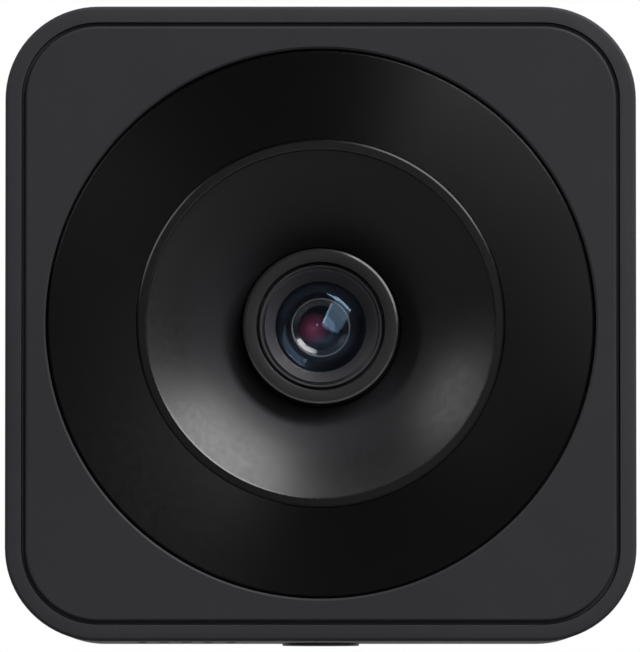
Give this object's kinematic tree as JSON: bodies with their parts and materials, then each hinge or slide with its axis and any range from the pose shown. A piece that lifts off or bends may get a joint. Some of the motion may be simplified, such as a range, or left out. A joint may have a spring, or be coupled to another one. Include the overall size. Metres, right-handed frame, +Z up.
{
  "type": "dash camera",
  "caption": "Compact square dash camera with a deep round lens recess, a rear display over a row of keys, a card slot, a power inlet and a flush mount plate on top.",
  "frame": {"origin": "middle of the top face of the mount plate, from which the camera hangs", "axes": "+Z up out of the mount plate, -Y the way the lens looks, +X towards the side with the card slot"},
  "size_m": [0.062, 0.0334, 0.0627],
  "materials": {
    "case_plastic": "fine matte texture",
    "panel_plastic": "fine matte texture",
    "ring_plastic": "satin with fine concentric turning lines",
    "bowl_plastic": "satin",
    "barrel_metal": "black anodised satin",
    "lens_glass": "coated",
    "inner_black": "matte",
    "foam_rubber": "foam",
    "circuit_board": "solder mask",
    "chip_black": "moulded",
    "filter_glass": "coated",
    "aluminium": "extruded",
    "capacitor_sleeve": "shrink sleeve",
    "steel": "brushed",
    "card_plastic": "satin",
    "window_black": "gloss",
    "display_grey": "gloss",
    "ribbon_film": "film",
    "key_plastic": "satin",
    "light_pipe": "clear",
    "screw_black": "black oxide"
  },
  "bodies": {
    "housing": {"case": "case_plastic", "front_panel": "panel_plastic", "trim_ring": "ring_plastic", "lens_bowl": "bowl_plastic", "lens_barrel": "barrel_metal", "lens_retainer": "barrel_metal", "front_lens": "lens_glass", "lens_stop": "inner_black", "rear_lens": "lens_glass", "lens_gasket": "foam_rubber", "lens_holder": "inner_black", "infrared_filter": "filter_glass", "image_sensor": "chip_black", "sensor_board": "circuit_board", "board_connector": "inner_black", "main_board": "circuit_board", "processor": "chip_black", "heat_sink": "aluminium", "microphone": "steel", "left_capacitor": "capacitor_sleeve", "right_capacitor": "capacitor_sleeve", "speaker": "inner_black", "usb_socket": "steel", "card_socket": "steel", "rear_cover": "case_plastic", "status_light": "light_pipe", "display_window": "window_black", "display_panel": "display_grey", "display_ribbon": "ribbon_film", "power_key_switch": "steel", "menu_key_switch": "steel", "up_key_switch": "steel", "down_key_switch": "steel", "key_board": "circuit_board", "key_header": "inner_black", "record_switch": "inner_black", "mount_plate": "steel", "mount_screw_left": "screw_black", "mount_screw_right": "screw_black", "case_screw_lower_left": "screw_black", "case_screw_upper_left": "screw_black", "case_screw_lower_right": "screw_black", "case_screw_upper_right": "screw_black"},
    "power_key": {"power_key": "key_plastic"},
    "menu_key": {"menu_key": "key_plastic"},
    "up_key": {"up_key": "key_plastic"},
    "down_key": {"down_key": "key_plastic"},
    "record_button": {"record_button": "key_plastic"},
    "memory_card": {"memory_card": "card_plastic"}
  },
  "joints": [
    {"name": "power_key_press", "type": "slide", "parent": "housing", "child": "power_key", "axis": [0, -1, 0], "range_m": [0, 0.0003], "stiffness_N_per_m": 800},
    {"name": "menu_key_press", "type": "slide", "parent": "housing", "child": "menu_key", "axis": [0, -1, 0], "range_m": [0, 0.0003], "stiffness_N_per_m": 800},
    {"name": "up_key_press", "type": "slide", "parent": "housing", "child": "up_key", "axis": [0, -1, 0], "range_m": [0, 0.0003], "stiffness_N_per_m": 800},
    {"name": "down_key_press", "type": "slide", "parent": "housing", "child": "down_key", "axis": [0, -1, 0], "range_m": [0, 0.0003], "stiffness_N_per_m": 800},
    {"name": "record_button_press", "type": "slide", "parent": "housing", "child": "record_button", "axis": [0, 0, 1], "range_m": [0, 0.00025], "stiffness_N_per_m": 800},
    {"name": "memory_card_slide", "type": "slide", "parent": "housing", "child": "memory_card", "axis": [1, 0, 0], "range_m": [0, 0.017]}
  ]
}
